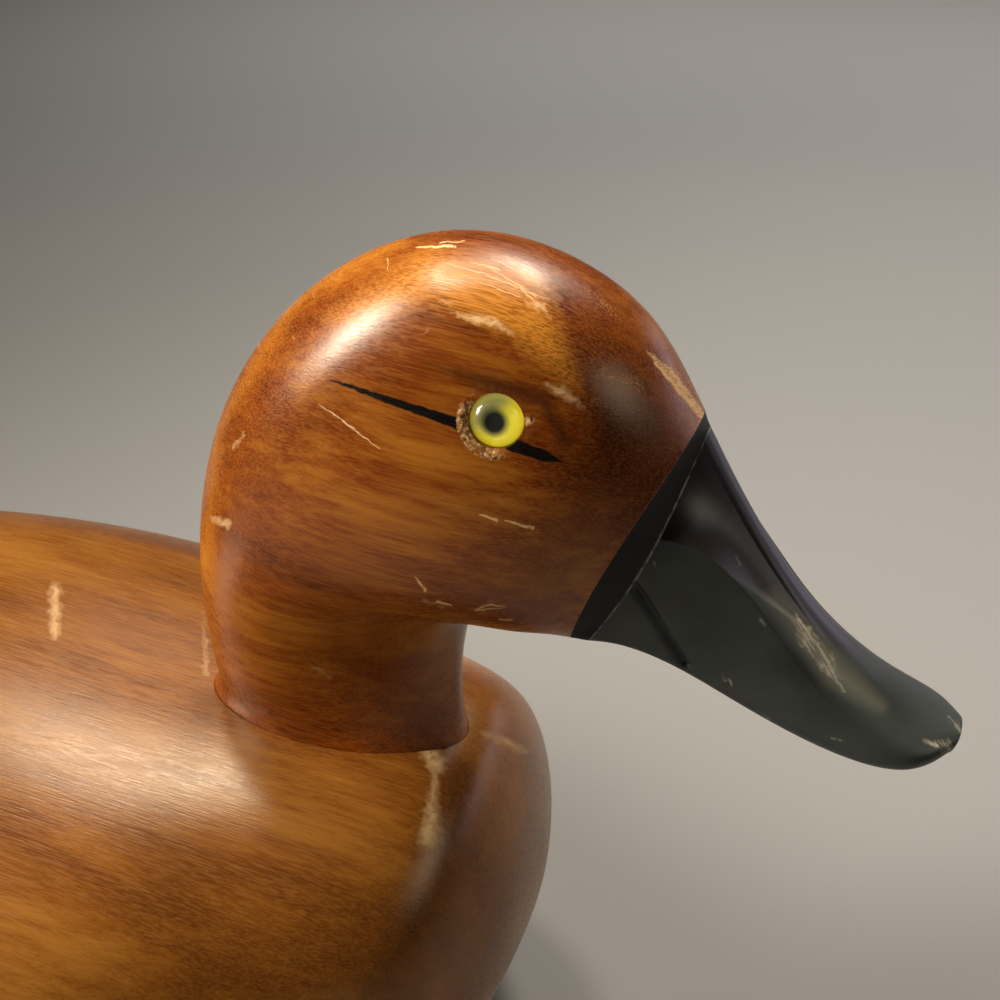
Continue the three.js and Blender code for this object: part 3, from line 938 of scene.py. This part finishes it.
billFinish = {
    "start": 0.5001,  # the row of the head's map where the paint starts
    "cloud": (90, 4, 0.6),
    "cloudStops": (0.3, 0.7),
    "side": ((38, 41, 36), (52, 56, 48)),
    "black": ((30, 21, 16), (44, 32, 25)),
    "scoopSoft": (-0.01, 0.01),
    "shelfSoft": (0.04, -0.04),
    # painted reflection: a lighter blue-grey sheen along the ridge, as far as ridgeShare of it
    "ridge": (66, 62, 76),
    "ridgeShare": 0.75,
    "sheenSides": (0.9, -0.6),
    "sheenFade": (0.62, 0.4),
    "step": ((8, 6, 5), (14, 11, 9)),
    "stepRows": (0.5206, 0.5196),
    "wornLine": (128, 132, 124),
    "lineRows": ((0.5186, 0.5198), (0.5222, 0.521)),
    "line": (420, 3, 0.6),
    "lineShow": (0.4, 0.58, 0.15, 0.85),
    "bare": (196, 184, 156),
    "edge": (12, 6),
    "scuffsSoft": 5,
    # the first three strokes, on the spoon, are a painted highlight over scuffed paint; the last two, at the
    # tip, are painted highlights; the rest are scuffs
    "scuffs": [
        (794, 616, 806, 636, 8, 20), (806, 636, 826, 662, 22, 20), (826, 662, 843, 690, 18, 5),
        (736, 556, 741, 566, 3, 4), (653, 562, 657, 568, 4, 3), (761, 619, 764, 626, 3, 4),
        (760, 716, 770, 717, 5, 4), (832, 738, 842, 740, 4, 4), (722, 676, 731, 684, 3, 5),
        (926, 742, 947, 747, 8, 15), (950, 716, 960, 732, 3, 4),
    ],
    "speckTurn": -0.98,
    "speckStretch": (0.14, 1.0, 1.0),
    "specks": (0.34, 3, 0.6),
    "specksShow": (0.42, 0.6, 0.12, 1.0),
    # painted sheen: a warm pale glare over the spoon, on dulled paint
    "dullingAndSheen": [(774, 598, 836, 672, 30, 46), (836, 672, 880, 706, 46, 24)],
    "dullingAndSheenSoft": 22,
    "dullingAndSheenShare": 0.5,
    "spoonSheenTone": (128, 120, 98),
    "rough": (0.42, 0.36),  # of the grey-green and of the black
    "stepRough": 0.35,
    "brushed": (700, 3, 0.6),
    "bump": (0.00005, 0.5),
}


def sectionPlace(paint):
    # side and share of the bill's length, and the row of the head's map
    section = paint.node("SeparateXYZ", (paint.node("UVMap", uv_map="section").outputs[0],)).outputs
    side = paint.times(paint.math("PINGPONG", section["X"], 0.5), 2 * halfSides)
    along = paint.math("DIVIDE", paint.math("SUBTRACT", section["Y"], billRow), billRows)
    return side, along, section["Y"]


def scoopedShare(paint, side, along):
    # 1 on the scooped top, up to where its scoops end
    share = paint.math("DIVIDE", paint.math("SUBTRACT", side, ridgeSide), shelfSide - ridgeSide)
    atRidge, atShelf = bill["scoopEnd"]
    end = paint.math("MULTIPLY_ADD", share, atShelf - atRidge, atRidge)
    before = paint.span(paint.math("SUBTRACT", end, along), *billFinish["scoopSoft"])
    return paint.times(before, paint.span(side, *(shelfSide + gap for gap in billFinish["shelfSoft"])))


def finishBill():
    # grey-green sides, a black scooped top whose ridge carries a painted reflection, and a black step with a
    # worn line; a painted sheen and painted highlights lie on the spoon and the tip
    paint, finish = Finish("bill_painted_wood"), billFinish
    place = paint.place()
    side, along, row = sectionPlace(paint)
    cloud, stops = paint.grain(place, *finish["cloud"]), finish["cloudStops"]
    dull, black, edge = (
        paint.ramp(cloud, list(zip(stops, finish[name]))) for name in ("side", "black", "step")
    )
    # painted reflection: the black is lightened to a blue-grey sheen along the ridge
    ridgeSheen = paint.span(side, *(ridgeSide + gap for gap in finish["sheenSides"]))
    ridgeSheen = paint.times(ridgeSheen, paint.span(along, *finish["sheenFade"]))
    black = paint.mix(paint.times(ridgeSheen, finish["ridgeShare"]), black, finish["ridge"])
    scooped = scoopedShare(paint, side, along)
    step = paint.span(row, *finish["stepRows"])
    base = paint.mix(step, paint.mix(scooped, dull, black), edge)
    near, far = (paint.span(row, *rows) for rows in finish["lineRows"])
    worn = paint.times(paint.times(near, far), patches(paint, place, finish, "line"))
    base = paint.mix(worn, base, finish["wornLine"])
    seen, shown = seenFrom(paint, place), markedSide(paint, place)
    specks = paint.stretched(paint.turned(seen, "Z_AXIS", finish["speckTurn"]), finish["speckStretch"])
    specks = paint.times(patches(paint, specks, finish, "specks"), shown)
    # pale scuffs, among them painted highlights on the spoon and at the tip
    bare = paint.times(strokes(paint, wavered(paint, seen, *finish["edge"]), finish, "scuffs"), specks)
    base = paint.mix(paint.times(bare, wear["bareShare"]), base, finish["bare"])
    # a painted sheen on the spoon, over dulled paint
    dullingAndSheen = paint.times(strokes(paint, seen, finish, "dullingAndSheen"), shown)
    base = paint.mix(paint.times(dullingAndSheen, finish["dullingAndSheenShare"]), base, finish["spoonSheenTone"])
    rough = paint.span(scooped, 0.0, 1.0, *finish["rough"])
    rough = paint.math("MULTIPLY_ADD", step, finish["stepRough"], rough)
    bumps = paint.bump(paint.grain(place, *finish["brushed"]), *finish["bump"])
    return paint.surface(BaseColor=base, Roughness=rough, Normal=bumps, IOR=1.44)


def finishGlass():
    paint = Finish("eye_clear_glass")
    return paint.surface(
        BaseColor=(255, 255, 255), Roughness=0.06, TransmissionWeight=1.0,
        CoatWeight=1.0, CoatRoughness=0.2,
    )


irisFinish = {
    "pupil": [(0.0, (8, 8, 10)), (0.28, (12, 12, 14))],
    "lit": [  # painted light, from the pupil's edge to the rim
        (0.36, (120, 116, 44)), (0.52, (232, 214, 52)), (0.78, (246, 222, 36)),
        (0.92, (196, 166, 26)), (1.0, (110, 92, 14)),
    ],
    # painted shade, greyer and greener
    "shaded": [
        (0.36, (70, 70, 40)), (0.52, (140, 138, 78)), (0.74, (198, 186, 92)),
        (0.92, (170, 146, 30)), (1.0, (96, 80, 14)),
    ],
    "pupilEnd": (0.4, 0.6),  # rings run round the pupil, and past it round the eye
    "toLight": (0.7, -0.7, 0),  # from the pupil
    "lightEdge": (-0.45, 0.1),
    # a painted glow: the iris shines with its own colour, though it is no lamp
    "glow": 0.5,
}


def finishIris():
    # yellow with a dark pupil off its middle, with painted shade, greyer and greener, towards the brow and
    # painted light on the other side
    paint = Finish("eye_painted_iris")
    place = mirrored(paint, paint.place())
    matrix = eyeMatrix(-1)
    middle = matrix @ (Vector((0, 0, -eye["irisDepth"])) * mm)
    pupil = middle + matrix.to_3x3() @ (Vector(eye["pupilShift"]) * mm)
    reach = eye["radius"] * mm
    nearPupil = paint.math("DIVIDE", paint.vector("DISTANCE", place, pupil), reach)
    nearMiddle = paint.math("DIVIDE", paint.vector("DISTANCE", place, middle), reach)
    low, high = irisFinish["pupilEnd"]
    share = paint.math("MAXIMUM", paint.math("MINIMUM", nearPupil, high), nearMiddle)
    share = paint.mix(paint.span(nearPupil, low, high), nearPupil, share)
    toLight = matrix.to_3x3() @ Vector(irisFinish["toLight"])
    lean = paint.vector("DOT_PRODUCT", paint.vector("SUBTRACT", place, pupil), toLight / reach)
    shaded, lit = (
        paint.ramp(share, irisFinish["pupil"] + irisFinish[name]) for name in ("shaded", "lit")
    )
    # painted light and painted shade: the lit and shaded copies mixed across the iris
    base = paint.mix(paint.span(lean, *irisFinish["lightEdge"]), shaded, lit)
    # the iris glows with its own colour: a painted glow
    return paint.surface(
        BaseColor=base, Roughness=0.5, EmissionColor=base, EmissionStrength=irisFinish["glow"],
    )


puttyFinish = {
    "grit": (1500, 4, 0.75),
    "gritTones": [(0.34, (66, 34, 14)), (0.48, (146, 92, 42)), (0.62, (216, 170, 104))],
    "lumps": (520, 2, 0.5),
    "lumpShare": 1.3,
    "crumbsShow": (1.08, 1.3),
    "rough": (0.3, 0.8),
    "bump": (0.00025, 0.6),
}


def finishPutty():
    # finished like the head where it is whole, and gritty where it has crumbled
    paint, place, base, fibre = stripedHead("eye_old_putty")
    pits = paint.node("Attribute", attribute_name="crumbs").outputs["Fac"]
    grit = paint.grain(place, *puttyFinish["grit"])
    lumps = paint.grain(place, *puttyFinish["lumps"])
    share = paint.math("MULTIPLY_ADD", lumps, puttyFinish["lumpShare"], pits)
    share = paint.span(share, *puttyFinish["crumbsShow"])
    base = paint.mix(share, base, paint.ramp(grit, puttyFinish["gritTones"]))
    bumps = paint.bump(grit, *puttyFinish["bump"])
    rough = paint.span(share, 0.0, 1.0, *puttyFinish["rough"])
    return paint.surface(BaseColor=base, Roughness=rough, Normal=bumps, IOR=1.4)


headPiece.data.materials.append(finishHead())
headPiece.data.materials.append(finishBill())
sectionMap = headPiece.data.uv_layers["section"].data
for face in headPiece.data.polygons:
    row = sum(sectionMap[loop].uv.y for loop in face.loop_indices) / face.loop_total
    face.material_index = 1 if row > billFinish["start"] else 0
bodyPiece.data.materials.append(finishBody())
for index, made in enumerate((finishGlass(), finishIris(), finishPutty())):
    for pieces in eyePieces.values():
        pieces[index].data.materials.append(made)
print("finishes on")

for piece in (headPiece, bodyPiece):
    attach(piece, "root")
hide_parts("head")
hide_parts("body")
for side, pieces in eyePieces.items():
    for piece, slot in zip(pieces, ("eye_glass", "eye_iris", "eye_putty")):
        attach(piece, "root")
    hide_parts(f"eye_{side}")
    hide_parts(f"eye_{side}")
    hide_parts(f"eye_putty_{side}")


# Stage, lamps and camera

studio = {
    "floorSize": 12.0,
    "floorColour": (122, 118, 112),
    "worldColour": (1.0, 0.9, 0.8),
    "worldStrength": 0.03,
    "decoyMiddle": (0.09, 0.0, 0.12),
    "lamps": {  # in m, W and degrees; from the decoy, or from the lamp's own target
        "window": {
            "toward": (-0.75, -0.34, 0.57), "longWay": (0.33, 0.617, 0.713), "distance": 0.9,
            "size": (0.9, 0.19), "watts": 2.9, "colour": (1.0, 0.97, 0.93), "spread": 56,
        },
        "overhead": {
            "toward": (-0.3, 0.28, 0.915), "longWay": (0.0, 1.0, -0.3), "distance": 0.9,
            "size": (0.2, 0.13), "watts": 0.8, "colour": (1.0, 0.94, 0.84), "spread": 80,
        },
        "crown": {
            "toward": (0.02, 0.56, 0.83), "longWay": (1.0, -0.04, -0.05), "distance": 1.1,
            "size": (0.24, 0.16), "watts": 1.7, "colour": (1.0, 0.93, 0.82), "spread": 80,
        },
        "side": {
            "toward": (0.88, -0.13, 0.45), "longWay": (0.15, 1.0, 0.0), "distance": 1.2,
            "size": (0.7, 0.5), "watts": 0.32, "colour": (1.0, 0.93, 0.82), "spread": 60,
        },
        "rim": {
            "toward": (0.68, 0.73, 0.08), "longWay": (-0.73, 0.68, 0.0), "distance": 1.8,
            "size": (2.0, 0.16), "watts": 1.0, "colour": (0.86, 0.84, 1.0), "spread": 100,
        },
        "backdrop": {
            "target": (0.2, 0.85, 0.0), "toward": (0.0, 0.45, 0.9), "longWay": (1.0, 0.0, 0.0),
            "distance": 1.3, "size": (1.5, 0.7), "watts": 6.0, "colour": (1.0, 0.99, 0.97), "spread": 62,
        },
    },
}


def buildFloor():
    bm = bmesh.new()
    bmesh.ops.create_grid(bm, x_segments=8, y_segments=8, size=studio["floorSize"] / 2)
    floor = finishMesh(bm, "floor")
    paint = Finish("floor_plain")
    floor.data.materials.append(paint.surface(BaseColor=studio["floorColour"], Roughness=0.7))


def buildLamps():
    for name, lamp in studio["lamps"].items():
        data = bpy.data.lights.new(f"{name}_lamp", "AREA")
        data.shape = "RECTANGLE"
        data.size, data.size_y = lamp["size"]
        data.energy = lamp["watts"]
        data.color = lamp["colour"]
        data.spread = math.radians(lamp["spread"])
        piece = bpy.data.objects.new(data.name, data)
        bpy.context.scene.collection.objects.link(piece)
        away = Vector(lamp["toward"]).normalized()
        x = Vector(lamp["longWay"])
        x = (x - away * x.dot(away)).normalized()
        turn = Matrix((x, away.cross(x), away)).transposed().to_4x4()
        place = Vector(lamp.get("target", studio["decoyMiddle"])) + away * lamp["distance"]
        piece.matrix_world = Matrix.Translation(place) @ turn
        piece.visible_camera = False
    world = bpy.data.worlds.new("studio")
    world.use_nodes = True
    background = world.node_tree.nodes["Background"]
    background.inputs["Color"].default_value = (*studio["worldColour"], 1)
    background.inputs["Strength"].default_value = studio["worldStrength"]
    bpy.context.scene.world = world
    bpy.context.scene.view_settings.view_transform = "Standard"


def buildCamera():
    data = bpy.data.cameras.new("camera")
    data.sensor_width = viewpoint["sensor"]
    data.lens = viewpoint["sensor"] * viewpoint["reach"] / (2 * viewpoint["middle"])
    data.clip_start, data.clip_end = viewpoint["clip"]
    camera = bpy.data.objects.new("camera", data)
    bpy.context.scene.collection.objects.link(camera)
    turn = Matrix((rightward, upward, backward)).transposed().to_4x4()
    camera.matrix_world = Matrix.Translation(Vector(viewpoint["place"]) * mm) @ turn
    bpy.context.scene.camera = camera


buildFloor()
buildLamps()
buildCamera()
print("studio set")
